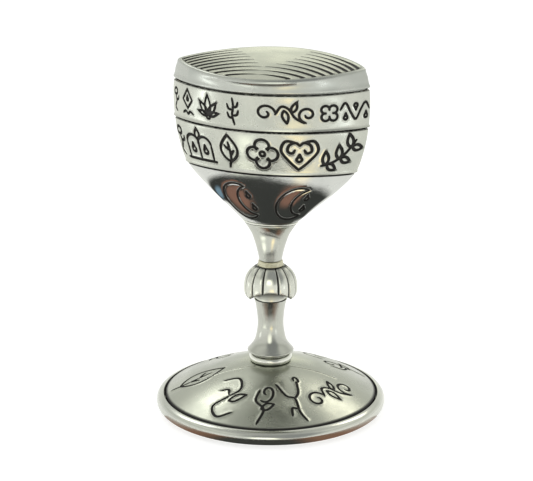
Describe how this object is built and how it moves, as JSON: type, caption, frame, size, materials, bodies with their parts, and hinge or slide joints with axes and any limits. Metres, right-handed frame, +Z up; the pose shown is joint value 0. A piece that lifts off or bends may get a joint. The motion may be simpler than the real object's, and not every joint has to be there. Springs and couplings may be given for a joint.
{
  "type": "ciborium",
  "caption": "Covered silver cup for altar bread: round domed foot, turned stem with a lobed knop, pointed-oval banded bowl with a gilt liner, and a lift-off lid.",
  "frame": {"origin": "centre of the foot's underside", "axes": "+Z up the stem, -Y towards the front of the bowl, +X to the right seen from the front"},
  "size_m": [0.116, 0.116, 0.1793],
  "materials": {
    "satin_silver": "satin, with black oxidised recesses",
    "bright_silver": "polished",
    "gilt": "gilt, polished",
    "steel": "turned",
    "brass": "turned"
  },
  "bodies": {
    "base": {"foot_rim": "bright_silver", "foot_dome": "satin_silver", "foot_collar": "bright_silver", "stem_lower": "bright_silver", "knop": "satin_silver", "knop_neck": "satin_silver", "stem_upper": "bright_silver", "bowl_flange": "bright_silver", "bowl_lower": "bright_silver", "band_lower": "satin_silver", "band_upper": "satin_silver", "bowl_boss": "brass", "tie_rod": "steel", "stem_upper_bush": "brass", "knop_bush": "brass", "stem_lower_bush": "brass", "foot_clamp_plate": "brass", "foot_spring_washer": "steel", "foot_nut": "brass"},
    "liner": {"bowl_liner": "gilt"},
    "lid": {"lid_skirt": "satin_silver", "lid_plate": "satin_silver", "lid_locating_ring": "gilt"}
  },
  "joints": [
    {"name": "liner_lift", "type": "slide", "parent": "base", "child": "liner", "axis": [0, 0, 1], "range_m": [0, 0.075]},
    {"name": "lid_lift", "type": "slide", "parent": "liner", "child": "lid", "axis": [0, 0, 1], "range_m": [0, 0.05]}
  ]
}
